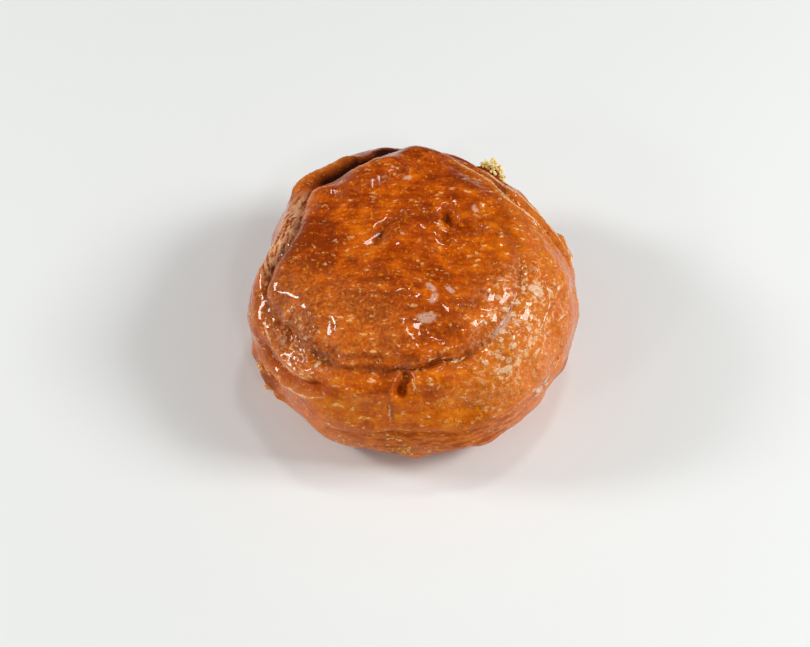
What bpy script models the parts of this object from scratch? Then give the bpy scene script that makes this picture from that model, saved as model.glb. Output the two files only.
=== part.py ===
# Glazed apple fritter: a coiled, fried lump of dough with a folded, pitted crust.
# Metres, +Z up. The origin is on the surface it rests on, under the middle of the plan.
# Bearings are degrees about +Z: 0 is +X, 90 is +Y. Polar angles are degrees down from the top.
import bmesh
import bpy
import numpy as np

girth = 0.0503            # mean radius of the plan
waist = 0.0215            # height of the widest level
crown = 0.0291            # rise from the widest level to the top
keel = 0.0270             # drop of the uncut underside below the widest level
crownSquareness = 2.7     # superellipse power above the widest level
keelSquareness = 3.0      # superellipse power below it
outlineBulges = [         # lobes round the plan, swell, bearing of the first lobe
    (2, 0.00115, -142), (3, 0.00158, -66), (4, 0.00013, 113), (5, 0.00051, -47), (6, 0.00097, 29),
    (7, 0.00045, -84), (8, 0.00038, 89)]

centring = np.array([-0.0006, -0.0006, 0.0])   # brings the middle of the finished plan over the origin

gridCells = 88            # cells along a side of each of the six patches of the fine surface
triangleGoal = 9600       # triangles left after the plain stretches are thinned out
sliverLimit = 0.0003      # edges of the flat base shorter than this are closed up

crustColour = (0.45, 0.13, 0.012, 1.0)
crustRoughness = 0.28


def sectionPoint(bearing, polar):
    """Point of the plain bun, before any fold or pit, at a bearing and polar angle in radians."""
    radius = np.full_like(bearing, girth)
    for lobes, swell, turn in outlineBulges:
        radius = radius + swell * np.cos(lobes * bearing - np.radians(turn))
    across, up = np.sin(polar), np.cos(polar)
    power = np.where(up >= 0, crownSquareness, keelSquareness)
    reach = (np.abs(across) ** power + np.abs(up) ** power) ** (-1 / power)
    height = np.where(up >= 0, crown, keel) * up * reach
    flat = radius * across * reach
    return np.stack([flat * np.cos(bearing), flat * np.sin(bearing), waist + height], axis=-1)


def outwardNormal(points):
    """Unit normal of the plain bun at points that lie on it."""
    flat = np.hypot(points[:, 0], points[:, 1]) + 1e-9
    rise = points[:, 2] - waist
    power = np.where(rise >= 0, crownSquareness, keelSquareness)
    half = np.where(rise >= 0, crown, keel)
    outward = (flat / girth) ** (power - 1) / girth
    upward = np.sign(rise) * (np.abs(rise) / half) ** (power - 1) / half
    normal = np.stack([points[:, 0] / flat * outward, points[:, 1] / flat * outward, upward], axis=-1)
    return normal / np.linalg.norm(normal, axis=1, keepdims=True)


def surfacePath(knots, samples=160, softening=30):
    """Smooth line over the bun through rough (bearing, polar) knots in degrees."""
    knots = np.radians(np.array(knots, dtype=float))
    spots = np.linspace(0, len(knots) - 1, samples)
    track = np.stack([np.interp(spots, np.arange(len(knots)), column) for column in knots.T])
    for _ in range(softening):
        track[:, 1:-1] = (track[:, :-2] + 2 * track[:, 1:-1] + track[:, 2:]) / 4
    return sectionPoint(track[0], track[1])


def measureFrom(points, path):
    """Distance to a path, the side of it (+ is to the right of its run), and the fraction along it."""
    run = np.gradient(path, axis=0)
    run /= np.linalg.norm(run, axis=1, keepdims=True)
    right = np.cross(run, outwardNormal(path))
    nearest = np.empty(len(points), dtype=int)
    for start in range(0, len(points), 8192):
        block = points[start:start + 8192]
        squares = ((block[:, None, :] - path[None, :, :]) ** 2).sum(axis=2)
        nearest[start:start + 8192] = squares.argmin(axis=1)
    offset = points - path[nearest]
    halfStep = np.linalg.norm(np.diff(path, axis=0), axis=1).mean() / 2
    along = np.clip((offset * run[nearest]).sum(axis=1), -halfStep, halfStep)
    distance = np.linalg.norm(offset - along[:, None] * run[nearest], axis=1)
    side = np.sign((offset * right[nearest]).sum(axis=1))
    return distance, side, nearest / (len(path) - 1), right[nearest]


def bell(distance, width):
    return np.exp(-(distance / width) ** 2)


def fadeEnds(fraction, length):
    """1 along the middle of a path, falling smoothly to 0 over a length at both ends."""
    edge = np.clip(np.minimum(fraction, 1 - fraction) / length, 0, 1)
    return edge * edge * (3 - 2 * edge)


def ripples(points, wavelength, seed, waves=14):
    """Gentle irregular swelling: a seeded sum of sine waves, with a mean square of 1."""
    chance = np.random.default_rng(seed)
    total = np.zeros(len(points))
    for _ in range(waves):
        heading = chance.normal(size=3)
        heading *= chance.uniform(0.7, 1.4) / np.linalg.norm(heading)
        total += np.sin(points @ heading * 2 * np.pi / wavelength + chance.uniform(0, 2 * np.pi))
    return total / np.sqrt(waves / 2)


# The seam between the turns of the coil, from the tail of the strip behind, round the left, the front
# and the right to the middle: bearing, polar angle, depth and width in millimetres.
coilSeam = [
    (-350, 74, 1.2, 1.6), (-332, 70, 1.4, 1.6), (-306, 64, 2.2, 2.0), (-285, 60, 3.6, 2.2),
    (-264, 53, 5.0, 2.8), (-252, 48, 6.0, 3.4), (-240, 46, 6.2, 3.6), (-229, 47, 5.6, 3.4),
    (-222, 49, 4.0, 2.2), (-214, 50, 2.4, 1.3), (-202, 45, 1.8, 1.2), (-187, 45, 2.0, 1.2),
    (-174, 47, 2.6, 1.4), (-168, 54, 2.8, 1.4), (-160, 56, 2.6, 1.6), (-151, 54, 2.6, 2.0),
    (-142, 53, 2.6, 2.2), (-134, 52, 2.6, 2.2), (-126, 52, 2.4, 2.0), (-118, 52, 2.2, 1.4),
    (-107, 49, 2.2, 1.2), (-96, 49.5, 2.6, 1.1), (-85, 46.5, 2.6, 1.1), (-77, 45, 2.2, 1.1),
    (-69, 44.5, 2.0, 1.1), (-60, 43, 1.8, 1.1), (-48, 41, 1.4, 1.2), (-34, 39.5, 1.0, 1.2),
    (-20, 37, 0.8, 1.2), (-8, 34.5, 0.8, 1.2), (6, 32.5, 1.0, 1.2), (20, 31.5, 1.0, 1.2),
    (34, 30, 1.0, 1.2), (42, 25, 1.0, 1.2), (50, 18, 1.0, 1.2), (66, 14, 1.0, 1.2),
    (88, 13, 1.0, 1.2), (112, 12, 1.2, 1.2), (136, 11, 1.8, 1.2), (160, 12, 2.4, 1.2),
    (182, 15, 2.2, 1.2)]
coilWaver = 0.0004        # how far the folds stray from their lines
waverLength = 0.009       # how often they do

# Lesser furrows: knots, depth, width.
furrows = [
    ([(228, 47), (235, 46.5), (240, 47), (248, 45), (257, 44.5), (275, 44.5)], 0.0012, 0.0008),  # by seam
    ([(64, 46), (50, 45.5), (40, 46), (31, 48), (24, 51.5), (17, 56), (8, 61), (0, 67)], 0.0015, 0.0009),
    ([(82, 47), (70, 50), (60, 52), (50, 53), (42, 54)], 0.0024, 0.0016),   # hollow behind the pleats
    ([(203, 71), (207, 76), (212, 80), (219, 79.5), (226, 75), (232, 69), (238, 64.5), (243, 62.5)],
     0.0034, 0.0020),                                                   # trough
    ([(261, 60), (262, 69), (263, 82)], 0.0008, 0.0009),                # crease below the pit
    ([(190, 128), (230, 134), (275, 130), (320, 126)], 0.0012, 0.0024),   # creases of the underside
    ([(30, 118), (80, 126), (130, 122)], 0.0014, 0.0026),
]

# Raised folds: knots, height, width.
pleats = [
    ([(78, 44), (70, 44), (59, 43), (50, 43), (42, 41.5), (32, 41.5), (25, 43.5), (20, 47), (14, 51),
      (4, 57)], 0.0013, 0.0008),
    ([(68, 48), (60, 48), (51, 47.5), (44, 47.5), (37, 50), (30, 53), (25, 56.5), (19, 59.5), (12, 62),
      (5, 66), (-2, 71)], 0.0013, 0.0008),
    ([(50, 61), (42, 61), (34, 62), (26, 63), (18, 65.5), (10, 68), (4, 72), (-2, 76)], 0.0009, 0.0009),
    ([(146, 46), (134, 42), (122, 37), (111, 36), (104, 39)], 0.0007, 0.0009),
    ([(146, 58), (138, 60), (130, 60), (120, 58), (108, 57.5)], 0.0014, 0.0013),
    ([(207, 63), (212, 66), (218, 67), (224, 66), (230, 63.5), (237, 60)], 0.0013, 0.0009),
    ([(199, 84), (205, 90), (213, 89), (221, 85), (228, 78), (236, 69.5), (243, 65.5)], 0.0014, 0.0012),
]

# Pits and bumps: path knots, height (a pit is negative), width, sharpness of the wall.
dents = [
    ([(266.5, 53.5), (266, 59)], -0.0036, 0.0020, 3),                   # upright oval pit in front
    ([(50, 18.5), (38, 17), (28, 19), (20, 23)], -0.0034, 0.0021, 3),   # bean-shaped dimple on top
    ([(38, 22.5), (30, 24)], 0.0012, 0.0014, 2),
    ([(182, 15), (172, 13)], -0.0018, 0.0016, 2),                       # crevice where the coil ends
    ([(226, 40), (227, 41)], -0.0013, 0.0024, 2),
    ([(214, 57), (215, 58)], -0.0020, 0.0012, 2),
    ([(148, 36), (149, 37)], 0.0011, 0.0016, 3),
    ([(225, 50), (223, 50)], 0.0018, 0.0024, 2),
    ([(39, 28), (36, 28)], 0.0010, 0.0016, 2),
    ([(211, 58), (209, 58)], 0.0009, 0.0016, 2),
    ([(206, 97), (208, 100)], 0.0016, 0.0030, 2),
    ([(212, 108), (214, 110)], 0.0016, 0.0030, 2),
    ([(198, 101), (199, 104)], 0.0010, 0.0030, 2),
    ([(17, 67), (13.5, 69.5), (11, 71)], 0.0024, 0.0019, 2),             # blunt tail of the strip, right
    ([(356, 74), (355, 79)], -0.0010, 0.0022, 2),
    ([(59.5, 59), (55.5, 60)], 0.0026, 0.0022, 3),                      # torn lump at the back
    ([(88, 57), (84, 57)], -0.0009, 0.0045, 2),
    ([(102, 55), (98, 55)], 0.0006, 0.0040, 2),
    ([(268, 119), (271, 121)], 0.0012, 0.0030, 2),                      # torn lump low in front
    ([(320, 89), (324, 92)], 0.0008, 0.0026, 2),
    ([(158, 54), (170, 53), (184, 55)], 0.0009, 0.0030, 2),                       # bank by the gap
]

# Lip of the outer turn, round the left, front and right, above the plain lower side:
# bearing, polar angle and reach in millimetres.
lowerLip = [
    (190, 104, 0.6), (200, 105, 0.9), (210, 106, 1.1), (219, 104, 1.1), (232, 96, 1.0), (242, 91.5, 0.9),
    (253, 87.5, 0.9), (266, 85.5, 0.8), (274, 84, 0.8), (282, 85, 0.8), (288, 86, 0.8), (295, 84, 0.9),
    (302, 81, 0.9), (309, 79.5, 0.9), (315, 80, 0.9), (321, 83, 0.8), (328, 89, 0.6), (342, 95, 0.5),
    (356, 97, 0.4)]
lipWidth = 0.0036


def shapeCrust(points):
    """Moves points of the plain bun out to the folded and pitted crust."""
    normal = outwardNormal(points)
    height = 0.0006 * ripples(points, 0.034, 5) + 0.0003 * ripples(points, 0.013, 8)
    waver = np.stack([ripples(points, waverLength, seed) for seed in (21, 22, 23)], axis=1)
    strayed = points + coilWaver * waver * np.clip(0.6 - points[:, 1:2] / 0.06, 0.3, 1)

    knots = np.array(coilSeam)
    seam = surfacePath(knots[:, :2], samples=460, softening=60)
    distance, side, fraction, right = measureFrom(strayed, seam)
    spots = np.linspace(0, 1, len(knots))
    depth = np.interp(fraction, spots, knots[:, 2] / 1000) * fadeEnds(fraction, 0.03)
    depth = depth * (1 + 0.18 * ripples(points, 0.012, 31))
    width = np.interp(fraction, spots, knots[:, 3] / 1000)
    signed = distance * side
    height -= depth * (0.6 * np.exp(-distance / width) + 0.4 * bell(distance, 2.0 * width))
    height += 0.42 * depth * bell(signed + 3.2 * width, 2.2 * width)        # rounded shoulder, inner turn
    height += 0.30 * depth * bell(signed - 3.6 * width, 2.4 * width)        # rounded shoulder, outer turn
    lean = 0.35 * depth * bell(signed + 1.2 * width, 1.6 * width)           # the inner turn leans over
    drift = right * lean[:, None]

    for knots, deep, broad in furrows:
        distance, side, fraction, right = measureFrom(strayed, surfacePath(knots))
        height -= deep * bell(distance, broad) * fadeEnds(fraction, 0.25)
    for knots, tall, broad in pleats:
        distance, side, fraction, right = measureFrom(points, surfacePath(knots))
        ridge = 0.4 * bell(distance, 1.5 * broad) + 0.6 * np.exp(-distance / (0.7 * broad))
        height += tall * ridge * fadeEnds(fraction, 0.2)
    for knots, tall, broad, sharpness in dents:
        distance, side, fraction, right = measureFrom(strayed, surfacePath(knots, samples=24, softening=4))
        height += tall * np.exp(-(distance / broad) ** sharpness)

    knots = np.array(lowerLip)
    distance, side, fraction, right = measureFrom(points, surfacePath(knots[:, :2], samples=260))
    above = -distance * side
    reach = np.interp(fraction, np.linspace(0, 1, len(knots)), knots[:, 2] / 1000)
    reach = reach * fadeEnds(fraction, 0.12)
    overLip = bell(above - 0.25 * lipWidth, lipWidth)
    underLip = np.exp(-0.0625) * bell(above, 0.25 * lipWidth)
    height += reach * np.where(above > 0, overLip, underLip)
    height -= reach * 0.5 * np.sin(np.pi * np.clip(-above / lipWidth, 0, 1))    # hollow under the lip
    return points + normal * height[:, None] + drift + centring


def patchGrid(cells):
    """Directions over a sphere: six square patches of even cells, their shared edges merged."""
    shape = bmesh.new()
    bmesh.ops.create_cube(shape, size=2.0)
    bmesh.ops.subdivide_edges(shape, edges=shape.edges[:], cuts=cells - 1, use_grid_fill=True)
    mesh = bpy.data.meshes.new("fritter")
    shape.to_mesh(mesh)
    shape.free()
    corners = np.empty(len(mesh.vertices) * 3)
    mesh.vertices.foreach_get("co", corners)
    corners = np.tan(corners.reshape(-1, 3) * np.pi / 4)
    return mesh, corners / np.linalg.norm(corners, axis=1, keepdims=True)


def buildFritter():
    mesh, rays = patchGrid(gridCells)
    bearing = np.arctan2(rays[:, 1], rays[:, 0])
    polar = np.arccos(np.clip(rays[:, 2], -1, 1))
    mesh.vertices.foreach_set("co", shapeCrust(sectionPoint(bearing, polar)).ravel())
    mesh.update()

    body = bpy.data.objects.new("fritter", mesh)
    bpy.context.collection.objects.link(body)
    thinning = body.modifiers.new("thinning", "DECIMATE")
    thinning.ratio = triangleGoal / (2 * len(mesh.polygons))
    thinned = bpy.data.meshes.new_from_object(body.evaluated_get(bpy.context.evaluated_depsgraph_get()))
    body.modifiers.clear()
    body.data = thinned
    bpy.data.meshes.remove(mesh)

    shape = bmesh.new()
    shape.from_mesh(thinned)
    whole = shape.verts[:] + shape.edges[:] + shape.faces[:]
    bmesh.ops.bisect_plane(shape, geom=whole, plane_co=(0, 0, 0), plane_no=(0, 0, -1), clear_outer=True)
    rim = [edge for edge in shape.edges if edge.is_boundary]
    bmesh.ops.holes_fill(shape, edges=rim)
    base = [vert for vert in shape.verts if abs(vert.co.z) < 1e-7]
    bmesh.ops.remove_doubles(shape, verts=base, dist=sliverLimit)
    bmesh.ops.recalc_face_normals(shape, faces=shape.faces[:])
    shape.to_mesh(thinned)
    shape.free()
    thinned.name = "fritter"
    thinned.shade_smooth()
    return body


def crustMaterial():
    material = bpy.data.materials.new("glazed_crust")
    material.use_nodes = True
    surface = material.node_tree.nodes["Principled BSDF"]
    surface.inputs["Base Color"].default_value = crustColour
    surface.inputs["Roughness"].default_value = crustRoughness
    surface.inputs["Metallic"].default_value = 0.0
    return material


for leftover in list(bpy.data.objects):
    bpy.data.objects.remove(leftover)
fritter = buildFritter()
fritter.data.materials.append(crustMaterial())
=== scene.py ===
import math
import random

import bmesh
import bpy
import numpy as np
from mathutils import Euler, Matrix, Vector, noise
from mathutils.bvhtree import BVHTree


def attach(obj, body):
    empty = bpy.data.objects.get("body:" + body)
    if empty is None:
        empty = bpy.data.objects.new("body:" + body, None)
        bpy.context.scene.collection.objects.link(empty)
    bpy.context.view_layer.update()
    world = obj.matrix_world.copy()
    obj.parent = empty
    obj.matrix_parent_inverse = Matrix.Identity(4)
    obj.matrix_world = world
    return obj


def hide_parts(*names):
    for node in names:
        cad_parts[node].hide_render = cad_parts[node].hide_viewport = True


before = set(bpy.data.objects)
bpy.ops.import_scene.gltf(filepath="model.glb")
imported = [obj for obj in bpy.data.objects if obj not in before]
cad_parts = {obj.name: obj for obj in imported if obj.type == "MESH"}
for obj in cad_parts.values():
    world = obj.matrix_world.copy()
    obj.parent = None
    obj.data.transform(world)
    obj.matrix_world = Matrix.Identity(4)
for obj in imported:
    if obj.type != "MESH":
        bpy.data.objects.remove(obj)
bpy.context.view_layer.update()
print("stage: frame loaded")


# the plain bun: metres, bearings in degrees about +Z from +X, polar angles down from the top

bun = {
    "girth": 0.0503, "waist": 0.0215, "crown": 0.0291, "keel": 0.0270,
    "crownSquareness": 2.7, "keelSquareness": 3.0,
    "bulges": [         # lobes round the bun, how far they swell, the bearing that they turn by
        (2, 0.00115, -142), (3, 0.00158, -66), (4, 0.00013, 113), (5, 0.00051, -47),
        (6, 0.00097, 29), (7, 0.00045, -84), (8, 0.00038, 89)],
    "swells": [(0.0006, 0.034, 5), (0.0003, 0.013, 8)],     # height, wavelength and seed
    "centring": (-0.0006, -0.0006, 0.0),
    "cells": 127,               # cells along a side of each of the six patches
    "crownCrowding": 0.16,      # how far the cells are drawn up from the underside to the top
}
centring = np.array(bun["centring"])


def sectionPoint(bearing, polar):
    radius = np.full_like(bearing, bun["girth"])
    for lobes, swell, turn in bun["bulges"]:
        radius = radius + swell * np.cos(lobes * bearing - math.radians(turn))
    across, up = np.sin(polar), np.cos(polar)
    power = np.where(up >= 0, bun["crownSquareness"], bun["keelSquareness"])
    reach = (np.abs(across) ** power + np.abs(up) ** power) ** (-1 / power)
    height = np.where(up >= 0, bun["crown"], bun["keel"]) * up * reach
    flat = radius * across * reach
    eastward, northward = flat * np.cos(bearing), flat * np.sin(bearing)
    return np.stack([eastward, northward, bun["waist"] + height], axis=-1)


def outwardNormal(points):
    flat = np.hypot(points[:, 0], points[:, 1]) + 1e-9
    rise = points[:, 2] - bun["waist"]
    power = np.where(rise >= 0, bun["crownSquareness"], bun["keelSquareness"])
    half = np.where(rise >= 0, bun["crown"], bun["keel"])
    outward = (flat / bun["girth"]) ** (power - 1) / bun["girth"]
    upward = np.sign(rise) * (np.abs(rise) / half) ** (power - 1) / half
    eastward, northward = points[:, 0] / flat * outward, points[:, 1] / flat * outward
    normal = np.stack([eastward, northward, upward], axis=-1)
    return normal / np.linalg.norm(normal, axis=1, keepdims=True)


def surfacePath(knots, samples=160, softening=30):
    # a rounded line over the plain bun through knots of bearing and polar angle
    knots = np.radians(np.array(knots, dtype=float))
    spots = np.linspace(0, len(knots) - 1, samples)
    track = np.stack([np.interp(spots, np.arange(len(knots)), column) for column in knots.T])
    for _ in range(softening):
        track[:, 1:-1] = (track[:, :-2] + 2 * track[:, 1:-1] + track[:, 2:]) / 4
    return sectionPoint(track[0], track[1])


def measureFrom(points, path, block=8192):
    # distance to a path, the side of it (+ is right of its run), the fraction along it
    # and its right hand
    run = np.gradient(path, axis=0)
    run /= np.linalg.norm(run, axis=1, keepdims=True)
    right = np.cross(run, outwardNormal(path))
    nearest = np.empty(len(points), dtype=int)
    squares = (path ** 2).sum(axis=1)
    for start in range(0, len(points), block):
        some = points[start:start + block]
        nearest[start:start + block] = (squares - 2 * some @ path.T).argmin(axis=1)
    offset = points - path[nearest]
    halfStep = np.linalg.norm(np.diff(path, axis=0), axis=1).mean() / 2
    along = np.clip((offset * run[nearest]).sum(axis=1), -halfStep, halfStep)
    distance = np.linalg.norm(offset - along[:, None] * run[nearest], axis=1)
    side = np.sign((offset * right[nearest]).sum(axis=1))
    return distance, side, nearest / (len(path) - 1), right[nearest]


def bell(distance, width):
    return np.exp(-(distance / width) ** 2)


def smooth(value, low, high):
    step = np.clip((value - low) / (high - low), 0, 1)
    return step * step * (3 - 2 * step)


def fadeEnds(fraction, length):
    return smooth(np.minimum(fraction, 1 - fraction), 0, length)


def ripples(points, wavelength, seed, waves=14):
    chance = np.random.default_rng(seed)
    total = np.zeros(len(points))
    for _ in range(waves):
        heading = chance.normal(size=3)
        heading *= chance.uniform(0.7, 1.4) / np.linalg.norm(heading)
        total += np.sin(points @ heading * 2 * np.pi / wavelength + chance.uniform(0, 2 * np.pi))
    return total / math.sqrt(waves / 2)


def grainNoise(points, size, octaves, seed):
    # fractal noise of about -1 to 1 whose largest lumps are size metres across
    shift = Vector((seed * 7.31, seed * 3.17, seed * 1.73))
    lumps = [noise.fractal(Vector(p) / size + shift, 0.9, 2.0, octaves) for p in points.tolist()]
    return np.array(lumps)


def near(points, bearing, polar, reach):
    # 1 at a place given in degrees, falling off over reach metres
    angles = np.array([math.radians(bearing)]), np.array([math.radians(polar)])
    return bell(np.linalg.norm(points - sectionPoint(*angles)[0], axis=1), reach)


def spotted(points, spots):
    return sum(strength * near(points, bearing, polar, reach)
               for bearing, polar, reach, strength in spots)


# folds of the crust

coil = {
    "knots": [      # bearing, polar angle, depth and width in mm; each later knot lies further in
        (-350, 74, 1.2, 1.6), (-332, 70, 1.4, 1.6), (-306, 64, 2.2, 2.0), (-285, 60, 3.6, 2.2),
        (-264, 53, 5.0, 2.8), (-252, 48, 6.0, 3.4), (-240, 46, 6.2, 3.6), (-229, 47, 5.6, 3.4),
        (-222, 49, 4.0, 2.2), (-214, 50, 2.4, 1.3), (-202, 45, 1.8, 1.2), (-187, 45, 2.0, 1.2),
        (-174, 47, 2.6, 1.4), (-168, 54, 2.8, 1.4), (-160, 56, 2.6, 1.6), (-151, 54, 2.6, 2.0),
        (-142, 53, 2.6, 2.2), (-134, 52, 2.6, 2.2), (-126, 52, 2.4, 2.0), (-118, 52, 2.2, 1.4),
        (-107, 49, 2.2, 1.2), (-96, 49.5, 2.6, 1.1), (-85, 46.5, 2.6, 1.1), (-77, 45, 2.2, 1.1),
        (-69, 44.5, 2.0, 1.1), (-60, 43, 1.8, 1.1), (-48, 41, 1.4, 1.2), (-34, 39.5, 1.0, 1.2),
        (-20, 37, 0.8, 1.2), (-8, 34.5, 0.8, 1.2), (6, 32.5, 1.0, 1.2), (20, 31.5, 1.0, 1.2),
        (34, 30, 1.0, 1.2), (42, 25, 1.0, 1.2), (50, 18, 1.0, 1.2), (66, 14, 1.0, 1.2),
        (88, 13, 1.0, 1.2), (112, 12, 1.2, 1.2), (136, 11, 1.8, 1.2), (160, 12, 2.4, 1.2),
        (182, 15, 2.2, 1.2)],
    # beside the seam: share of its depth, then offset and width as multiples of its own width
    "banks": [(0.42, -3.2, 2.2), (0.30, 3.6, 2.4)],
    "lean": (0.35, -1.2, 1.6),
    "darkDepth": 0.0030,                       # the depth that counts as fully dark in the finish
    "gapDepths": (0.0036, 0.0052),             # where the seam is so deep that it stands open
    "uneven": (0.18, 0.012, 31),               # share, wavelength and seed of the changes in depth
    "waver": 0.0004, "waverLength": 0.009,     # how far and how often the folds stray
    "waverSeeds": (21, 22, 23),
}

folds = {
    "trough": [(203, 71), (207, 76), (212, 80), (219, 79.5), (226, 75), (232, 69), (238, 64.5),
               (243, 62.5)],
    "troughDepth": 0.0034, "troughWidth": 0.0020,
    "troughSheen": 0.0022,                     # how wide the finish keeps it smooth
    "furrows": [      # knots, depth, width
        ([(228, 47), (235, 46.5), (240, 47), (248, 45), (257, 44.5), (275, 44.5)], 0.0012, 0.0008),
        ([(64, 46), (50, 45.5), (40, 46), (31, 48), (24, 51.5), (17, 56), (8, 61), (0, 67)],
         0.0015, 0.0009),
        ([(82, 47), (70, 50), (60, 52), (50, 53), (42, 54)], 0.0024, 0.0016),
        ([(261, 60), (262, 69), (263, 82)], 0.0008, 0.0009),
        ([(190, 128), (230, 134), (275, 130), (320, 126)], 0.0012, 0.0024),
        ([(30, 118), (80, 126), (130, 122)], 0.0014, 0.0026),
    ],
    "pleats": [       # knots, height, width
        ([(78, 44), (70, 44), (59, 43), (50, 43), (42, 41.5), (32, 41.5), (25, 43.5), (20, 47),
          (14, 51), (4, 57)], 0.0013, 0.0008),
        ([(68, 48), (60, 48), (51, 47.5), (44, 47.5), (37, 50), (30, 53), (25, 56.5), (19, 59.5),
          (12, 62), (5, 66), (-2, 71)], 0.0013, 0.0008),
        ([(50, 61), (42, 61), (34, 62), (26, 63), (18, 65.5), (10, 68), (4, 72), (-2, 76)],
         0.0009, 0.0009),
        ([(146, 46), (134, 42), (122, 37), (111, 36), (104, 39)], 0.0007, 0.0009),
        ([(146, 58), (138, 60), (130, 60), (120, 58), (108, 57.5)], 0.0014, 0.0013),
        ([(207, 63), (212, 66), (218, 67), (224, 66), (230, 63.5), (237, 60)], 0.0013, 0.0009),
        ([(199, 84), (205, 90), (213, 89), (221, 85), (228, 78), (236, 69.5), (243, 65.5)],
         0.0014, 0.0012),
    ],
    "dents": [        # knots, height (a pit is negative), width, sharpness of the wall
        ([(266.5, 53.5), (266, 59)], -0.0036, 0.0020, 3),
        ([(50, 18.5), (38, 17), (28, 19), (20, 23)], -0.0034, 0.0021, 3),
        ([(38, 22.5), (30, 24)], 0.0012, 0.0014, 2),
        ([(182, 15), (172, 13)], -0.0018, 0.0016, 2),
        ([(226, 40), (227, 41)], -0.0013, 0.0024, 2),
        ([(214, 57), (215, 58)], -0.0020, 0.0012, 2),
        ([(148, 36), (149, 37)], 0.0011, 0.0016, 3),
        ([(225, 50), (223, 50)], 0.0018, 0.0024, 2),
        ([(39, 28), (36, 28)], 0.0010, 0.0016, 2),
        ([(211, 58), (209, 58)], 0.0009, 0.0016, 2),
        ([(206, 97), (208, 100)], 0.0016, 0.0030, 2),
        ([(212, 108), (214, 110)], 0.0016, 0.0030, 2),
        ([(198, 101), (199, 104)], 0.0010, 0.0030, 2),
        ([(17, 67), (13.5, 69.5), (11, 71)], 0.0024, 0.0019, 2),
        ([(356, 74), (355, 79)], -0.0010, 0.0022, 2),
        ([(59.5, 59), (55.5, 60)], 0.0026, 0.0022, 3),
        ([(88, 57), (84, 57)], -0.0009, 0.0045, 2),
        ([(102, 55), (98, 55)], 0.0006, 0.0040, 2),
        ([(268, 119), (271, 121)], 0.0012, 0.0030, 2),
        ([(320, 89), (324, 92)], 0.0008, 0.0026, 2),
        ([(158, 54), (170, 53), (184, 55)], 0.0009, 0.0030, 2),
    ],
    # the painted shade in furrows and pits is fullest at these depths
    "deepFurrow": 0.0026, "deepPit": 0.0034,   # depths that count as fully dark in the finish
}

lip = {
    "knots": [      # bearing, polar angle, reach in millimetres
        (190, 104, 0.6), (200, 105, 0.9), (210, 106, 1.1), (219, 104, 1.1), (232, 96, 1.0),
        (242, 91.5, 0.9), (253, 87.5, 0.9), (266, 85.5, 0.8), (274, 84, 0.8), (282, 85, 0.8),
        (288, 86, 0.8), (295, 84, 0.9), (302, 81, 0.9), (309, 79.5, 0.9), (315, 80, 0.9),
        (321, 83, 0.8), (328, 89, 0.6), (342, 95, 0.5), (356, 97, 0.4)],
    "width": 0.0036, "tuck": 0.5,       # tuck: how far it is cut in below, as a share of its reach
}


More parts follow.
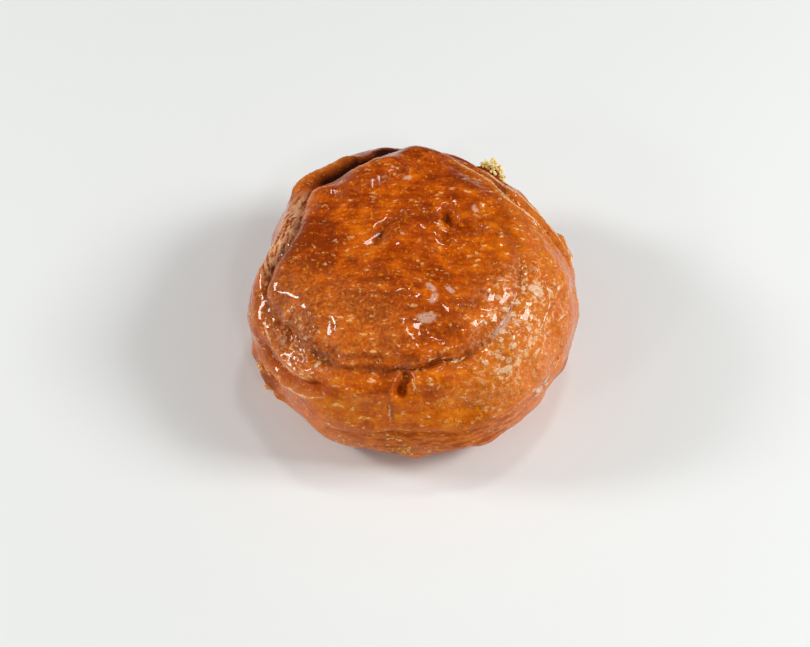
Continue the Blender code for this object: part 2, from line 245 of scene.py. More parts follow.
def shapeCrust(points):
    # moves points of the plain bun out to the crust, and keeps what the finish needs to know
    normal = outwardNormal(points)
    height = sum(tall * ripples(points, length, seed) for tall, length, seed in bun["swells"])
    drift = np.zeros_like(points)
    marks = {}

    waver = [ripples(points, coil["waverLength"], seed) for seed in coil["waverSeeds"]]
    waver = np.stack(waver, axis=1) * np.clip(0.6 - points[:, 1:2] / 0.06, 0.3, 1)  # least behind
    strayed = points + coil["waver"] * waver
    knots = np.array(coil["knots"])
    seam = surfacePath(knots[:, :2], samples=460, softening=60)
    distance, side, fraction, right = measureFrom(strayed, seam)
    spots = np.linspace(0, 1, len(knots))
    depth = np.interp(fraction, spots, knots[:, 2] / 1000) * fadeEnds(fraction, 0.03)
    width = np.interp(fraction, spots, knots[:, 3] / 1000)
    share, length, seed = coil["uneven"]
    depth = depth * (1 + share * ripples(points, length, seed))
    signed = distance * side
    height -= depth * (0.6 * np.exp(-distance / width) + 0.4 * bell(distance, 2.0 * width))
    for share, offset, spread in coil["banks"]:
        height += share * depth * bell(signed - offset * width, spread * width)
    share, offset, spread = coil["lean"]
    drift += right * (share * depth * bell(signed - offset * width, spread * width))[:, None]
    # painted shade: the seam is painted darker the deeper it is, and where it stands open the gap
    # is painted near black
    marks["seam"] = np.clip(depth / coil["darkDepth"], 0, 1) * bell(distance, 1.3 * width)
    marks["gap"] = smooth(depth, *coil["gapDepths"]) * smooth(-distance, -2.6 * width, -1.2 * width)

    # painted shade in the furrows and the trough, darker where they are deeper
    marks["furrow"] = np.zeros(len(points))
    trough = (folds["trough"], folds["troughDepth"], folds["troughWidth"])
    for knots, deep, broad in folds["furrows"] + [trough]:
        distance, side, fraction, right = measureFrom(strayed, surfacePath(knots))
        furrow = bell(distance, broad) * fadeEnds(fraction, 0.25)
        height -= deep * furrow
        shade = furrow * min(1.0, deep / folds["deepFurrow"])
        marks["furrow"] = np.maximum(marks["furrow"], shade)
    marks["trough"] = bell(measureFrom(points, surfacePath(folds["trough"]))[0],
                           folds["troughSheen"])
    marks["pleat"] = np.zeros(len(points))
    for knots, tall, broad in folds["pleats"]:
        distance, side, fraction, right = measureFrom(points, surfacePath(knots))
        ridge = 0.4 * bell(distance, 1.5 * broad) + 0.6 * np.exp(-distance / (0.7 * broad))
        ridge = ridge * fadeEnds(fraction, 0.2)
        height += tall * ridge
        marks["pleat"] = np.maximum(marks["pleat"], ridge)
    # painted shade in the pits, darker the deeper they are
    marks["pit"] = np.zeros(len(points))
    for knots, tall, broad, sharpness in folds["dents"]:
        distance = measureFrom(strayed, surfacePath(knots, samples=24, softening=4))[0]
        spot = np.exp(-(distance / broad) ** sharpness)
        height += tall * spot
        if tall < 0:
            marks["pit"] = np.maximum(marks["pit"], spot * min(1.0, -tall / folds["deepPit"]))

    knots = np.array(lip["knots"])
    distance, side, fraction, right = measureFrom(points, surfacePath(knots[:, :2], samples=260))
    above = -distance * side
    reach = np.interp(fraction, np.linspace(0, 1, len(knots)), knots[:, 2] / 1000)
    reach = reach * fadeEnds(fraction, 0.12)
    crest = 0.25 * lip["width"]         # the lip is proudest this far above its edge
    upper = bell(above - crest, lip["width"])
    lower = bell(crest, lip["width"]) * bell(above, crest)
    height += reach * np.where(above > 0, upper, lower)
    height -= reach * lip["tuck"] * np.sin(np.pi * np.clip(-above / lip["width"], 0, 1))
    marks["side"] = fadeEnds(fraction, 0.05) * smooth(-above, -0.0002, 0.0010)
    return points + normal * height[:, None] + drift + centring, normal, marks


def patchGrid(cells):
    # a ball of six square patches, as a mesh and as the directions of its corners
    shape = bmesh.new()
    bmesh.ops.create_cube(shape, size=2.0)
    bmesh.ops.subdivide_edges(shape, edges=shape.edges[:], cuts=cells - 1, use_grid_fill=True)
    mesh = bpy.data.meshes.new("glazedCrust")
    shape.to_mesh(mesh)
    shape.free()
    corners = np.empty(len(mesh.vertices) * 3)
    mesh.vertices.foreach_get("co", corners)
    corners = np.tan(corners.reshape(-1, 3) * math.pi / 4)
    return mesh, corners / np.linalg.norm(corners, axis=1, keepdims=True)


def linkObject(name, mesh):
    thing = bpy.data.objects.new(name, mesh)
    bpy.context.collection.objects.link(thing)
    return thing


mesh, rays = patchGrid(bun["cells"])
bearing = np.arctan2(rays[:, 1], rays[:, 0])
polar = np.arccos(np.clip(rays[:, 2], -1, 1))
polar = polar + bun["crownCrowding"] * np.sin(polar) * (1 - np.cos(polar)) / 2
plain = sectionPoint(bearing, polar)
placed, outward, marks = shapeCrust(plain)
print("stage: folds shaped")

skin = {
    "blister": 0.00016, "blisterSize": 0.0030,      # height and width of the small fried blisters
    "stretch": 0.00014, "stretchSize": 0.0016,      # height and spacing of the long stretch marks
    "crackle": 0.00095, "crackleSize": 0.0030,      # height and width of the lumps, front left
    "stretchLength": 5.5, "stretchSlant": 0.06,     # how drawn out the marks are, and their slant
    "strokeHeight": 1.6, "strokeLength": 0.012,     # the same for the strokes that run round it
}
skinSpots = {       # bearing, polar angle, reach in metres, strength
    "crackled": [(214, 55, 0.006, 1), (222, 56, 0.007, 1), (232, 58, 0.006, 1)],
    "rightBand": [(322, 45, 0.011, 1), (312, 50, 0.009, 1), (336, 44, 0.009, 1)],
    "paleSeam": [(212, 53, 0.013, 0.55)],
    "film": [(226, 44, 0.014, 1), (200, 46, 0.010, 1), (250, 36, 0.012, 1), (322, 50, 0.014, 1),
             (310, 58, 0.010, 1)],
    "frost": [(350, 60, 0.012, 0.3), (300, 60, 0.010, 0.5)],
    "fibre": [(146, 51, 0.0040, 1), (156, 51, 0.0034, 1), (165, 51, 0.0034, 1),
              (174, 51, 0.0034, 1), (183, 52, 0.0036, 1)],
    "shoulder": [(350, 62, 0.018, 1), (325, 60, 0.018, 1), (20, 58, 0.013, 1),
                 (300, 70, 0.014, 1), (330, 80, 0.012, 0.7), (200, 75, 0.012, 0.7)],
    "pink": [(228, 103, 0.010, 1), (246, 104, 0.008, 1), (318, 100, 0.010, 1)],
    # where the painted glints are strongest
    "glints": [(15, 36, 0.020, 1), (270, 50, 0.010, 1), (262, 74, 0.018, 1), (262, 95, 0.012, 1),
               (215, 60, 0.014, 1)],
    "front": [(262, 74, 0.014, 1), (240, 74, 0.010, 1), (285, 76, 0.012, 1)],
    "tone": [       # paler above 0, browner below
        (355, 26, 0.014, 0.10), (302, 58, 0.014, 0.12), (178, 16, 0.006, 0.16),
        (160, 22, 0.007, 0.08), (178, 34, 0.008, -0.26), (190, 38, 0.012, -0.15),
        (18, 34, 0.014, 0.12), (235, 66, 0.012, 0.16), (313, 74, 0.010, 0.12),
        (158, 62, 0.007, 0.20), (70, 49, 0.005, -0.30), (58, 51, 0.005, -0.30),
        (13.5, 69.5, 0.003, -0.25)],
}
inPlan = plain[:, 0], plain[:, 1]
stretched = np.stack([inPlan[0] / skin["stretchLength"] + inPlan[1] * skin["stretchSlant"],
                      inPlan[1], plain[:, 2]], axis=1)
around = np.stack([np.hypot(*inPlan), plain[:, 2] * skin["strokeHeight"],
                   skin["strokeLength"] * np.arctan2(-inPlan[0], inPlan[1])], axis=1)
topness = smooth(outward[:, 2], 0.35, 0.8)
crackled = np.clip(spotted(plain, skinSpots["crackled"]), 0, 1)
rightBand = np.clip(spotted(plain, skinSpots["rightBand"]), 0, 1)

fine = skin["blister"] * grainNoise(plain, skin["blisterSize"], 3, 1)
fine += skin["stretch"] * topness * grainNoise(stretched, skin["stretchSize"], 2, 2)
lumps = [noise.voronoi(Vector(p) / skin["crackleSize"])[0][0] for p in plain.tolist()]
fine += skin["crackle"] * crackled * (0.5 - np.array(lumps))
fine *= 1 - marks["pit"]
placed = placed + outward * fine[:, None]
placed[:, 2] = np.maximum(placed[:, 2], 0.0)
mesh.vertices.foreach_set("co", placed.ravel())
mesh.update()

# the seam's painted shade is lightened here
marks["seam"] *= 1 - spotted(plain, skinSpots["paleSeam"])
for name in ("film", "fibre", "shoulder", "pink", "glints", "front"):
    marks[name] = np.clip(spotted(plain, skinSpots[name]), 0, 1)
marks["frost"] = rightBand + 0.6 * crackled + spotted(plain, skinSpots["frost"])
marks["frost"] = np.clip(marks["frost"], 0, 1)
marks["tone"] = 0.30 * marks["front"] + spotted(plain, skinSpots["tone"])
for name, values in marks.items():
    layer = mesh.attributes.new(name, "FLOAT", "POINT")
    layer.data.foreach_set("value", values.astype(np.float32))
for name, places in {"stretched": stretched, "around": around}.items():
    layer = mesh.attributes.new(name, "FLOAT_VECTOR", "POINT")
    layer.data.foreach_set("vector", places.astype(np.float32).ravel())
mesh.shade_smooth()
crust = linkObject("glazedCrust", mesh)
print("stage: crust built,", len(mesh.polygons), "faces")


# materials

class Wire:
    # one output socket, with the sums that the finishes are written in
    def __init__(self, shader, socket):
        self.shader, self.socket = shader, socket

    def sum(self, operation, *values):
        settings = {"operation": operation}
        return self.shader.node("ShaderNodeMath", settings, dict(enumerate(values)))

    def __add__(self, other):
        return self.sum("ADD", self, other)

    def __radd__(self, other):
        return self.sum("ADD", other, self)

    def __sub__(self, other):
        return self.sum("SUBTRACT", self, other)

    def __rsub__(self, other):
        return self.sum("SUBTRACT", other, self)

    def __mul__(self, other):
        return self.sum("MULTIPLY", self, other)

    def __rmul__(self, other):
        return self.sum("MULTIPLY", other, self)

    def ramp(self, low, high):
        settings = {"interpolation_type": "SMOOTHSTEP", "clamp": True}
        inputs = {"Value": self, "From Min": low, "From Max": high}
        return self.shader.node("ShaderNodeMapRange", settings, inputs)


class Shader:
    def __init__(self, name):
        self.material = bpy.data.materials.new(name)
        self.material.use_nodes = True
        self.nodes = self.material.node_tree.nodes
        self.links = self.material.node_tree.links
        self.surface = self.nodes["Principled BSDF"]

    def plug(self, socket, value):
        if isinstance(value, Wire):
            self.links.new(value.socket, socket)
        else:
            socket.default_value = value

    def node(self, kind, settings=None, inputs=None, output=0):
        made = self.nodes.new(kind)
        for key, value in (settings or {}).items():
            if key == "stops":
                while len(made.color_ramp.elements) < len(value):
                    made.color_ramp.elements.new(0.5)
                for element, (place, colour) in zip(made.color_ramp.elements, value):
                    element.position, element.color = place, colour
            else:
                setattr(made, key, value)
        for key, value in (inputs or {}).items():
            self.plug(made.inputs[key], value)
        return Wire(self, made.outputs[output])

    def place(self):
        return self.node("ShaderNodeTexCoord", {}, {}, "Object")

    def mark(self, name, output="Fac"):
        return self.node("ShaderNodeAttribute", {"attribute_name": name}, {}, output)

    def mix(self, factor, first, second):
        inputs = {0: factor, 6: first, 7: second}
        return self.node("ShaderNodeMix", {"data_type": "RGBA"}, inputs, 2)

    def noise(self, vector, size, detail=3.0, roughness=0.55, output="Fac"):
        inputs = {"Vector": vector, "Scale": 1 / size, "Detail": detail, "Roughness": roughness}
        return self.node("ShaderNodeTexNoise", {}, inputs, output)

    def cells(self, vector, size):
        return self.node("ShaderNodeTexVoronoi", {}, {"Vector": vector, "Scale": 1 / size})

    def stretch(self, vector, scale):
        return self.node("ShaderNodeMapping", {}, {"Vector": vector, "Scale": scale})

    def bump(self, height, strength, depth, under=None):
        inputs = {"Height": height, "Strength": strength, "Distance": depth}
        if under is not None:
            inputs["Normal"] = under
        return self.node("ShaderNodeBump", {}, inputs)

    def finish(self, values):
        for key, value in values.items():
            self.plug(self.surface.inputs[key], value)
        return self.material


def paint(red, green, blue):
    # a screen colour of 0 to 255 as the linear colour that the shaders take
    def channel(value):
        value = value / 255
        return value / 12.92 if value <= 0.04045 else ((value + 0.055) / 1.055) ** 2.4
    return (channel(red), channel(green), channel(blue), 1.0)


crustFinish = {
    "deep": paint(138, 49, 3), "brown": paint(174, 70, 4), "amber": paint(202, 90, 3),
    "golden": paint(224, 114, 5), "yellow": paint(242, 142, 12),
    # the pink is a painted reflection of the floor, on the lower side
    "shoulder": paint(214, 120, 20), "pink": paint(226, 130, 74),
    "sideDark": paint(172, 66, 5), "sideLight": paint(240, 128, 26),
    # the film and frost colours are partly glaze and partly painted sheen and highlights; the fibre
    # colour is torn fibres with painted sheen
    "film": paint(236, 146, 66), "frost": paint(250, 200, 150), "fibre": paint(252, 196, 148),
    # greyed and dark are painted shade, in the seam and in its open gap
    "greyed": paint(96, 40, 18), "dark": paint(50, 16, 6), "channel": paint(176, 70, 6),
    # the speck and sparkle colours are painted glints
    "glintSpeck": paint(255, 176, 30), "paintedGlint": paint(255, 200, 130),
    # sizes in metres of what varies over the crust
    "broadSize": 0.016, "middlingSize": 0.0048, "drawnSize": 0.0020, "grainSize": 0.00105,
    "poreSize": 0.0021, "strokeSize": 0.0022, "wrinkleSize": 0.0050, "patchSize": 0.0018,
    "fibreSize": 0.0012, "blisterSize": 0.0034, "beadSize": 0.0017, "waveSize": 0.0026,
    "warpSize": 0.0012, "warpReach": (0.0016, 0.0016, 0.0016),
    "roughness": 0.6, "specular": 0.02,
    "coat": 0.88, "coatRoughness": 0.06, "coatIor": 1.36,
    "glow": 0.08, "glowReach": (0.004, 0.0012, 0.0003),
    # how much each of these brings to the fried tone, and what is taken off the sum of them
    "tones": {"broad": 0.80, "middling": 1.20, "drawn": 0.75, "grain": 0.40, "taken": 1.21},
    # how strongly each mark paints over the tone
    "amounts": {"shoulder": 0.8, "side": 0.85, "pink": 0.7, "film": 0.34, "frost": 0.75,
                "furrow": 0.6, "pleat": 0.5, "pit": 0.4, "seam": 0.65, "fibre": 0.9,
                "glintSpeck": 0.35},
    # how much of the glaze's gloss each mark takes away
    "dulled": {"gap": 0.85, "side": 0.35, "front": 0.4, "trough": 0.2},
}


def crustMaterial():
    shader = Shader("glazedCrust")
    look = crustFinish
    tones, amounts, dulled = look["tones"], look["amounts"], look["dulled"]
    place, around = shader.place(), shader.mark("around", "Vector")
    broad = shader.noise(place, look["broadSize"], 3.0)
    middling = shader.noise(place, look["middlingSize"], 4.0, 0.6)
    drawn = shader.noise(shader.mark("stretched", "Vector"), look["drawnSize"], 4.0, 0.65)
    grain = shader.noise(place, look["grainSize"], 2.0, 0.6)
    pores = shader.noise(place, look["poreSize"], 3.0, 0.7)
    strokes = shader.noise(around, look["strokeSize"], 4.0, 0.65)
    fibres = shader.noise(around, look["fibreSize"], 3.0, 0.6)
    wrinkles = shader.noise(shader.stretch(place, (1.0, 1.0, 3.0)), look["wrinkleSize"], 4.0, 0.65)
    patches = shader.noise(place, look["patchSize"], 4.0, 0.7)
    gap, trough, side = shader.mark("gap"), shader.mark("trough"), shader.mark("side")

    # fried tones, then the bands that differ from them
    tone = (broad * tones["broad"] + middling * tones["middling"] + drawn * tones["drawn"]
            + grain * tones["grain"] + shader.mark("tone") - tones["taken"])
    stops = [(0.15, look["deep"]), (0.36, look["brown"]), (0.54, look["amber"]),
             (0.74, look["golden"]), (1.0, look["yellow"])]
    colour = shader.node("ShaderNodeValToRGB", {"stops": stops}, {"Fac": tone})
    shoulder = shader.mix(strokes.ramp(0.34, 0.62), look["amber"], look["shoulder"])
    colour = shader.mix(shader.mark("shoulder") * amounts["shoulder"], colour, shoulder)
    lower = shader.mix(wrinkles.ramp(0.36, 0.64), look["sideDark"], look["sideLight"])
    colour = shader.mix(side * amounts["side"], colour, lower)
    # painted reflection of the floor on the lower side
    colour = shader.mix(shader.mark("pink") * amounts["pink"], colour, look["pink"])
    # partly a thicker milky glaze film and partly a painted sheen
    film = shader.mark("film") * (grain.ramp(0.36, 0.62) * 0.6 + 0.3)
    colour = shader.mix(film * amounts["film"], colour, look["film"])
    # pale frosted glaze on the right band and crackled lumps, partly painted highlights
    frost = shader.mark("frost") * patches.ramp(0.50, 0.62)
    colour = shader.mix(frost * amounts["frost"], colour, look["frost"])

    # folds, pits and the torn band: painted shade in the furrows, pits, seam and open gap, painted
    # highlights on pleat crests, painted sheen on the torn band
    # painted shade in the furrows and the trough
    colour = shader.mix(shader.mark("furrow") * amounts["furrow"], colour, look["deep"])
    colour = shader.mix(trough, colour, look["channel"])
    # painted highlight along the pleats' crests
    colour = shader.mix(shader.mark("pleat") * amounts["pleat"], colour, look["film"])
    # painted shade in the pits
    colour = shader.mix(shader.mark("pit") * amounts["pit"], colour, look["deep"])
    # painted shade in the seam
    colour = shader.mix(shader.mark("seam") * amounts["seam"], colour, look["greyed"])
    # the torn band's pale fibres, partly a painted sheen
    tornSheen = shader.mark("fibre") * fibres.ramp(0.38, 0.56)
    colour = shader.mix(tornSheen * amounts["fibre"], colour, look["fibre"])
    # painted shade: the open gap is painted near black
    colour = shader.mix(gap, colour, look["dark"])

    # specks and small glints, painted into the colour as painted highlights
    glintSpecks = grain.ramp(0.58, 0.68) * pores.ramp(0.50, 0.62) * (1 - gap)
    colour = shader.mix(glintSpecks * amounts["glintSpeck"], colour, look["glintSpeck"])
    warp = shader.noise(place, look["warpSize"], 2.0, 0.5, "Color")
    longwise = shader.node("ShaderNodeVectorMath", {"operation": "MULTIPLY_ADD"}, {
        0: warp, 1: look["warpReach"], 2: shader.stretch(place, (0.5, 1.0, 1.0))})
    blister = shader.cells(longwise, look["blisterSize"])
    bead = shader.cells(longwise, look["beadSize"])
    paintedGlint = (blister.ramp(0.25, 0.08) * pores.ramp(0.48, 0.55)
               + bead.ramp(0.34, 0.12) * middling.ramp(0.50, 0.57))
    paintedGlint = paintedGlint * (shader.mark("glints") * 0.5 + 0.5) * (1 - gap)
    colour = shader.mix(paintedGlint, colour, look["paintedGlint"])

    # small relief, from the widest to the finest
    smoothed = 1 - trough * 0.9
    rough = middling.ramp(0.40, 0.60) * 0.75 + 0.25 - trough * 0.9
    relief = shader.bump(shader.noise(place, look["waveSize"], 1.0) * rough, 0.7, 0.0010)
    relief = shader.bump(drawn * rough, 0.15, 0.0009, relief)
    blisters = blister.ramp(0.50, 0.02) * pores.ramp(0.44, 0.54) * smoothed
    relief = shader.bump(blisters, 0.9, 0.00040, relief)
    beading = bead.ramp(0.50, 0.02) * middling.ramp(0.50, 0.60) * smoothed
    relief = shader.bump(beading, 0.9, 0.00020, relief)
    relief = shader.bump(fibres * shader.mark("fibre") + wrinkles * side, 0.8, 0.0012, relief)
    glaze = (look["coat"] - gap * dulled["gap"] - side * dulled["side"]
             - shader.mark("front") * dulled["front"] - trough * dulled["trough"])
    return shader.finish({
        "Base Color": colour, "Normal": relief, "Roughness": look["roughness"],
        "Specular IOR Level": look["specular"], "Coat Weight": glaze,
        "Coat Roughness": look["coatRoughness"], "Coat IOR": look["coatIor"],
        "Subsurface Weight": look["glow"], "Subsurface Radius": look["glowReach"],
        "Subsurface Scale": 1.0,
    })


crust.data.materials.append(crustMaterial())
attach(crust, "root")
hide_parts("fritter")
print("stage: crust finished")


# sugar flakes, pale glaze sheets and beads, whose paleness is partly painted highlight, and crumbs
# that lie on the crust

crustTree = BVHTree.FromObject(crust, bpy.context.evaluated_depsgraph_get())
# rays that find the crust start this far off the plain bun, and a flake's rays reach this far
castFrom = 0.012
flakeCast = 0.004       # how far off its own level a flake's rays start
flakeBase = 0.0003      # how far under the crust a flake's closing point lies


def surfaceFrame(bearing, polar):
    # a place given in degrees: the point on the crust, its outward, eastward and upward directions
    start = sectionPoint(np.array([math.radians(bearing)]), np.array([math.radians(polar)]))[0]
    outward = Vector(outwardNormal(start[None])[0])
    hit = crustTree.ray_cast(Vector(start + centring) + outward * castFrom, -outward)[0]
    east = Vector((-math.sin(math.radians(bearing)), math.cos(math.radians(bearing)), 0.0))
    return hit, outward, east, outward.cross(east)


def patchRim(length, width, corners, jitter, chance):
    # an uneven flat outline, with each of its edges in three steps
    turns = [(corner + chance.uniform(-0.3, 0.3)) / corners * 2 * math.pi
             for corner in range(corners)]
    tips = []
    for turn in turns:
        reach = chance.uniform(1 - jitter, 1 + jitter)
        far = math.copysign(abs(math.cos(turn)) ** 0.8, math.cos(turn)) * (length + width) / 2
        wide = math.copysign(abs(math.sin(turn)) ** 0.8, math.sin(turn)) * width / 2
        tips.append(Vector((far, wide)) * reach)
    return [tip.lerp(tips[(corner + 1) % corners], step / 3)
            for corner, tip in enumerate(tips) for step in range(3)]


def innerLayer(shape):
    # how far inside its piece each point lies, for the see-through edges
    return shape.verts.layers.float.get("inner") or shape.verts.layers.float.new("inner")


def drapedPatch(shape, ends, width, thickness, corners, jitter, chance):
    # one closed flake along the line between two places, laid on the crust with its rim sunk in
    first, outward, east, _ = surfaceFrame(*ends[:2])
    last = surfaceFrame(*ends[2:])[0]
    middle = (first + last) / 2
    along = last - first
    length = along.length
    along = along.normalized() if length > 1e-5 else east
    across = outward.cross(along).normalized()
    rim = patchRim(length, width, corners, jitter, chance)
    edge = innerLayer(shape)
    rings = []
    # spread, lift and how far inside, from the inner ring to the rim
    section = (0.40, 1.0, 1.0), (0.72, 0.75, 0.5), (1.0, -0.2, 0.0)
    for spread, lift, inner in section:
        ring = []
        for spot in rim:
            start = middle + along * spot.x * spread + across * spot.y * spread
            start += outward * flakeCast
            hit, normal, _, _ = crustTree.ray_cast(start, -outward, castFrom)
            if hit is None:
                hit, normal, _, _ = crustTree.find_nearest(start)
            vert = shape.verts.new(hit + normal * thickness * lift)
            vert[edge] = inner
            ring.append(vert)
        rings.append(ring)
    centre = sum((vert.co for vert in rings[0]), Vector()) / len(rim)
    hub = shape.verts.new(centre + outward * thickness * 0.1)
    hub[edge] = 1.0
    base = shape.verts.new(middle - outward * (thickness + flakeBase))
    for side in range(len(rim)):
        after = (side + 1) % len(rim)
        shape.faces.new((hub, rings[0][side], rings[0][after]))
        for inner, outer in zip(rings, rings[1:]):
            shape.faces.new((inner[side], outer[side], outer[after], inner[after]))
        shape.faces.new((rings[-1][after], rings[-1][side], base))


def drapedBead(shape, knots, width, height, chance):
    # a thin closed bead along a line on the crust, swelling and thinning along its length
    path = surfacePath(knots, samples=110)
    normals = outwardNormal(path)
    edge = innerLayer(shape)
    phase = chance.uniform(0, 6)
    section = ((-0.5, -0.4, 0.0), (-0.3, 0.55, 0.6), (0.0, 1.0, 1.0), (0.3, 0.55, 0.6),
               (0.5, -0.4, 0.0), (0.0, -1.2, 0.0))      # aside, lift, how far inside
    rings = []
    for number in range(1, len(path) - 1):
        outward = Vector(normals[number])
        along = Vector(path[number + 1] - path[number - 1]).normalized()
        across = outward.cross(along)
        fraction = number / (len(path) - 1)
        swell = 1 - beads["swelling"] + beads["swelling"] * math.sin(number * 0.31 + phase)
        swell *= math.sin(math.pi * fraction) ** 0.5
        middle = Vector(path[number] + centring)
        middle += across * beads["stray"] * math.sin(number * 0.11 + phase)
        ring = []
        for aside, lift, inner in section:
            start = middle + across * aside * width * swell + outward * castFrom
            hit, normal, _, _ = crustTree.ray_cast(start, -outward)
            vert = shape.verts.new(hit + normal * lift * height * swell)
            vert[edge] = inner * min(1.0, 5 * fraction, 5 - 5 * fraction)
            ring.append(vert)
        rings.append(ring)
    for first, second in zip(rings, rings[1:]):
        for side in range(len(section)):
            after = (side + 1) % len(section)
            shape.faces.new((first[side], first[after], second[after], second[side]))
    shape.faces.new(rings[0])
    shape.faces.new(rings[-1][::-1])


def addPiece(name, shape, material):
    bmesh.ops.recalc_face_normals(shape, faces=shape.faces[:])
    mesh = bpy.data.meshes.new(name)
    shape.to_mesh(mesh)
    shape.free()
    mesh.shade_smooth()
    mesh.materials.append(material)
    piece = linkObject(name, mesh)
    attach(piece, "root")


def flakeMaterial(name, finish):
    shader = Shader(name)
    cloud = shader.noise(shader.place(), flakes["cloudSize"], 3.0, 0.6)
    edge = (shader.mark("inner") + cloud * 0.5 - 0.25).ramp(*finish["fade"])
    thin, dense = finish["opacity"]
    body = shader.mix(edge, crustFinish["film"], finish["colour"])
    return shader.finish({
        "Base Color": shader.mix(cloud.ramp(0.45, 0.75) * 0.8, body, crustFinish["film"]),
        "Alpha": (cloud.ramp(0.28, 0.60) * dense + thin) * edge, "Roughness": finish["roughness"],
        "Coat Weight": 0.8, "Coat Roughness": 0.12, "Normal": shader.bump(cloud, 0.6, 0.0005),
        "Specular IOR Level": 0.2,
    })


# pale flakes of sugar glaze, their paleness partly a painted highlight
flakes = {
    "placed": [     # bearing and polar angle of both ends, width in millimetres
        (340, 42, 340, 46, 4.6), (338, 39.5, 336, 39.5, 2.0), (331, 30, 336, 34.5, 1.1),
        (326, 38, 330, 41.5, 1.5), (322, 38, 322, 38.5, 2.3), (322, 41, 323, 42, 2.4),
        (308, 36, 308, 38, 1.4), (320, 43.5, 320, 46.5, 1.4), (323, 49, 323, 50, 2.4),
        (344, 48, 344, 51, 1.7), (347, 53, 348, 53, 1.7), (341, 51.5, 336, 52.5, 0.8),
        (336, 52.5, 330, 53.5, 0.8), (330, 53.5, 326, 54, 0.8), (335, 47.5, 340, 49, 0.7),
        (342, 63.5, 335, 59, 0.7), (312, 43, 313, 43, 2.4), (309, 45.5, 310, 45.5, 1.7),
        (312, 49.5, 313, 49.5, 2.2), (299, 49.5, 300, 49.5, 2.3), (306, 51.5, 307, 51.5, 1.4),
        (307, 54, 309, 54, 1.2), (303, 56, 308, 56.5, 2.4), (319, 59, 321, 59, 1.5),
        (320, 72.5, 320, 74, 0.9), (325, 79.5, 328, 77, 0.6), (330, 85, 330, 86, 1.0),
        (322, 85, 322, 88, 3.4), (316, 90, 317, 90, 1.7), (287, 46, 290, 45.5, 1.4),
        (291, 45.5, 293, 45, 0.9), (232, 55.5, 232, 57, 2.2), (314.5, 79, 317.5, 84, 2.8),
        (317, 84, 317.5, 88, 2.4), (319, 79, 320, 82, 1.6)],
    "loose": [      # bearing, polar angle, spread in degrees, how many
        (322, 46, 5.0, 30), (334, 48, 6.0, 20), (310, 50, 5.0, 16), (345, 42, 6.0, 8),
        (222, 58, 3.5, 14), (212, 57, 3.0, 8), (300, 62, 6.0, 6)],
    "looseWidths": (0.0004, 0.0005, 0.0007, 0.0009),
    "thickness": 0.00020, "cloudSize": 0.0011, "seed": 11,
    "finish": {"colour": paint(255, 218, 176), "opacity": (0.30, 0.55), "fade": (0.10, 0.75),
               "roughness": 0.30},
}
# pale see-through sheets on the glaze whose colour is a painted highlight
highlightSheets = {
    "placed": [     # bearing and polar angle of both ends, width in millimetres
        (286, 17.5, 290, 20.5, 3.0), (289, 22, 284, 24.5, 3.0), (302, 21, 303, 23, 2.4),
        (274, 30, 283, 29.5, 4.4), (96, 28, 91, 29, 2.2), (38, 28, 34, 28, 2.4),
        (325, 41, 306, 43, 3.0), (314, 79, 318, 84, 3.6), (317, 83, 319, 88, 3.2),
        (322, 78, 318, 82, 2.6), (313, 76, 314, 79, 1.8), (319, 88, 316, 90, 2.2)],
    "thickness": 0.00016,
    "finish": {"colour": paint(255, 214, 190), "opacity": (0.16, 0.46), "fade": (0.05, 0.95),
               "roughness": 0.18},
}
# raised beads along pleat crests, trough rims, a crinkle and the pit's wall, whose pale colour is a
# painted highlight
beads = {
    "lines": [      # knots, width and height in millimetres; the first three run along pleats
        (folds["pleats"][0][0], 2.0, 0.55),
        (folds["pleats"][1][0], 1.8, 0.50),
        (folds["pleats"][2][0], 1.5, 0.40),
        ([(200, 57), (204, 62), (209, 65.5), (214, 67.5), (220, 68), (226, 66.5), (232, 64),
          (238, 61)], 2.4, 0.30),
        ([(212, 89.5), (217, 88), (222, 84.5), (228, 78), (236, 69.5), (243, 65.5)], 1.2, 0.30),
        ([(261, 64), (262, 68), (261.5, 72), (262.5, 76), (262, 80)], 1.7, 0.26),
        ([(270.2, 53.5), (270.6, 56), (270.2, 58.5)], 1.4, 0.26),
    ],
    "swelling": 0.25, "stray": 0.0001,      # how far they thin, and how far they stray aside
    "finish": {"colour": paint(254, 190, 126), "opacity": (0.38, 0.55), "fade": (0.1, 0.9),
               "roughness": 0.20},
}


def scatterPlaces(chance, bearing, polar, reach, count):
    # loose places round a middle, each with a short second end
    places = []
    for _ in range(count):
        east = bearing + chance.gauss(0, reach) / math.sin(math.radians(polar))
        down = polar + chance.gauss(0, reach)
        length = chance.uniform(0.2, 1.2)
        places.append((east, down, east + length, down + chance.uniform(-0.6, 0.6)))
    return places


def addFlakes():
    chance = random.Random(flakes["seed"])
    shape = bmesh.new()
    for *ends, width in flakes["placed"]:
        corners = chance.randint(5, 8)
        drapedPatch(shape, ends, width / 1000, flakes["thickness"], corners, 0.20, chance)
    for bearing, polar, reach, count in flakes["loose"]:
        for ends in scatterPlaces(chance, bearing, polar, reach, count):
            width = chance.choice(flakes["looseWidths"])
            corners = chance.randint(4, 6)
            drapedPatch(shape, ends, width, flakes["thickness"], corners, 0.25, chance)
    addPiece("flakesAndGlints", shape, flakeMaterial("flakesAndGlints", flakes["finish"]))
    shape = bmesh.new()
    for *ends, width in highlightSheets["placed"]:
        drapedPatch(shape, ends, width / 1000, highlightSheets["thickness"], 12, 0.12, chance)
    addPiece("glazeHighlights", shape, flakeMaterial("glazeHighlights", highlightSheets["finish"]))
    shape = bmesh.new()
    for knots, width, height in beads["lines"]:
        drapedBead(shape, knots, width / 1000, height / 1000, chance)
    addPiece("highlightBeads", shape, flakeMaterial("highlightBeads", beads["finish"]))


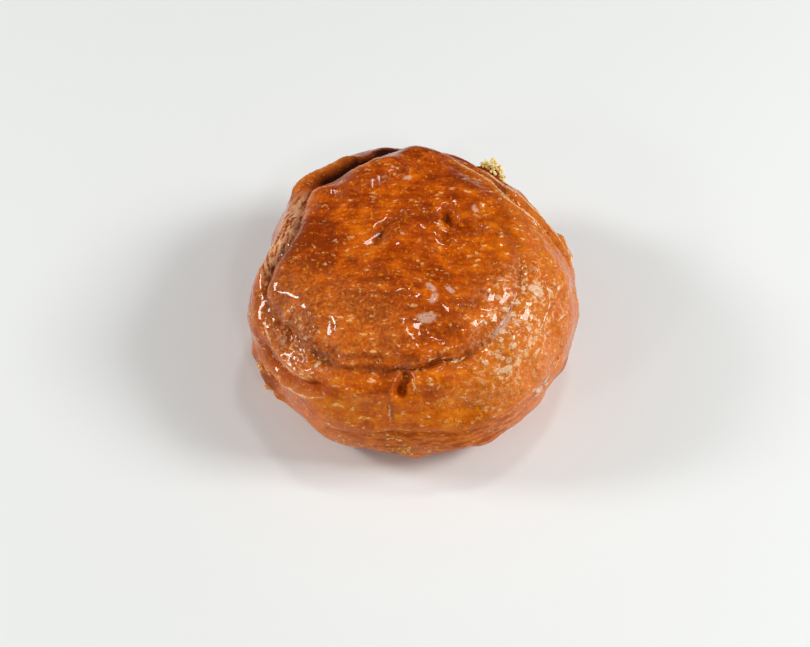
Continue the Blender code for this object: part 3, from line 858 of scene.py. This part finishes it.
crumbs = {
    "tornCrumbs": {
        # bearing, polar angle, reach of the cluster, how many, their size
        "clusters": [(57.5, 58.5, 0.0030, 120, 0.00055), (52.5, 60.5, 0.0020, 24, 0.0005)],
        "heaped": 0.7, "sunk": -0.3,    # heap as a share of the reach, sinking as one of the size
        "deep": paint(246, 190, 96), "pale": paint(254, 236, 170), "coat": 0.0,
    },
    "glazeLumps": {
        "clusters": [
            (268, 108, 0.0030, 14, 0.00075), (262, 108, 0.0020, 6, 0.0006),
            (275, 106, 0.0026, 7, 0.0006), (206, 99, 0.0016, 5, 0.0009),
            (211, 106, 0.0018, 6, 0.0009), (246, 104, 0.0040, 4, 0.0006)],
        "heaped": 0.0, "sunk": 0.2,
        "deep": paint(214, 108, 18), "pale": paint(248, 180, 92), "coat": 0.9,
    },
}


crumbShape = {
    "seed": 5, "cloudSize": 0.0010,
    # least and most: size of a crumb, stretch of each side, unevenness of its points
    "sizes": (0.5, 1.3), "stretches": (0.6, 1.2), "unevenness": (0.82, 1.15),
}


def crumbMaterial(name, kind):
    shader = Shader(name)
    cloud = shader.noise(shader.place(), crumbShape["cloudSize"], 3.0, 0.6)
    return shader.finish({
        "Base Color": shader.mix(cloud.ramp(0.35, 0.60), kind["deep"], kind["pale"]),
        "Coat Weight": kind["coat"], "Coat Roughness": 0.1, "Roughness": 0.75,
        "Normal": shader.bump(cloud, 0.6, 0.0005), "Specular IOR Level": 0.2,
        "Subsurface Weight": 0.3, "Subsurface Radius": (0.003, 0.002, 0.001),
        "Subsurface Scale": 1.0,
    })


def looseTurn(chance):
    return Euler([chance.uniform(0, 2 * math.pi) for _ in range(3)]).to_quaternion()


def addCrumbs(name, kind):
    # clusters of small uneven lumps that touch the crust and each other
    chance = random.Random(crumbShape["seed"])
    shape = bmesh.new()
    for bearing, polar, reach, count, size in kind["clusters"]:
        middle, outward, east, upward = surfaceFrame(bearing, polar)
        for _ in range(count):
            spot = middle + east * chance.gauss(0, reach / 2) + upward * chance.gauss(0, reach / 2)
            hit, normal, _, _ = crustTree.find_nearest(spot)
            scale = size * chance.uniform(*crumbShape["sizes"])
            closeness = math.exp(-((spot - middle).length / reach) ** 2)
            hit = hit + normal * (kind["heaped"] * reach * closeness * chance.random())
            turn = looseTurn(chance)
            sides = [scale * chance.uniform(*crumbShape["stretches"]) for _ in range(3)]
            lowered = hit - normal * scale * kind["sunk"]
            turned = Matrix.LocRotScale(lowered, turn, Vector(sides))
            made = bmesh.ops.create_icosphere(shape, subdivisions=2, radius=1.0, matrix=turned)
            for vert in made["verts"]:
                vert.co = hit + (vert.co - hit) * chance.uniform(*crumbShape["unevenness"])
    addPiece(name, shape, crumbMaterial(name, kind))


addFlakes()
for name, kind in crumbs.items():
    addCrumbs(name, kind)
print("stage: flakes and crumbs laid")


# camera, light and floor

view = {
    "aim": Vector((-0.0029, -0.0006, 0.0084)), "distance": 0.530, "elevation": math.radians(55),
    "lens": 74.0, "sensor": 36.0,
}


def addCamera():
    back = Vector((0, -math.cos(view["elevation"]), math.sin(view["elevation"])))
    data = bpy.data.cameras.new("camera")
    data.lens, data.sensor_width = view["lens"], view["sensor"]
    camera = linkObject("camera", data)
    camera.location = view["aim"] + back * view["distance"]
    camera.rotation_euler = (math.pi / 2 - view["elevation"], 0, 0)
    bpy.context.scene.camera = camera


studio = {
    "lamps": [      # place, size of its square, power in watts
        ((0.78, -0.05, 0.62), 0.32, 6.35),
        ((-0.80, 0.08, 0.52), 0.20, 3.7),
        ((-0.60, -0.52, 0.50), 0.08, 0.5),
        ((0.14, 0.24, 1.00), 0.11, 1.1),
        ((0.20, -0.70, 0.80), 0.11, 1.0),
    ],
    "sky": 0.55,    # dark overhead and in front, pale towards both sides
    "skyStops": [(0.25, (0.12, 0.12, 0.12, 1.0)), (0.85, (1.0, 0.98, 0.95, 1.0))],
    "floor": (0.84, 0.86, 0.85, 1.0), "floorRoughness": 0.55,
    "floorReach": 12.0, "floorDrop": 0.0002,
}


def addLamps():
    for number, (place, size, power) in enumerate(studio["lamps"]):
        data = bpy.data.lights.new("softbox%d" % number, "AREA")
        data.shape, data.size, data.energy = "SQUARE", size, power
        lamp = linkObject(data.name, data)
        lamp.location = place
        lamp.rotation_euler = (-Vector(place)).to_track_quat("-Z", "Y").to_euler()


def addSky():
    world = bpy.data.worlds.new("studio")
    world.use_nodes = True
    nodes, links = world.node_tree.nodes, world.node_tree.links
    place = nodes.new("ShaderNodeTexCoord")
    parts = nodes.new("ShaderNodeSeparateXYZ")
    reach = nodes.new("ShaderNodeMath")
    reach.operation = "ABSOLUTE"
    sky = nodes.new("ShaderNodeValToRGB")
    for element, (position, colour) in zip(sky.color_ramp.elements, studio["skyStops"]):
        element.position, element.color = position, colour
    links.new(place.outputs["Generated"], parts.inputs[0])
    links.new(parts.outputs["X"], reach.inputs[0])
    links.new(reach.outputs[0], sky.inputs["Fac"])
    links.new(sky.outputs["Color"], nodes["Background"].inputs["Color"])
    nodes["Background"].inputs["Strength"].default_value = studio["sky"]
    bpy.context.scene.world = world
    bpy.context.scene.view_settings.view_transform = "Standard"


def addFloor():
    sheet = bmesh.new()
    bmesh.ops.create_grid(sheet, x_segments=1, y_segments=1, size=studio["floorReach"])
    mesh = bpy.data.meshes.new("floor")
    sheet.to_mesh(mesh)
    sheet.free()
    floor = linkObject("floor", mesh)
    floor.location = (0, 0, -studio["floorDrop"])
    shader = Shader("floor")
    values = {"Base Color": studio["floor"], "Roughness": studio["floorRoughness"]}
    mesh.materials.append(shader.finish(values))


addCamera()
addLamps()
addSky()
addFloor()
print("stage: studio set")
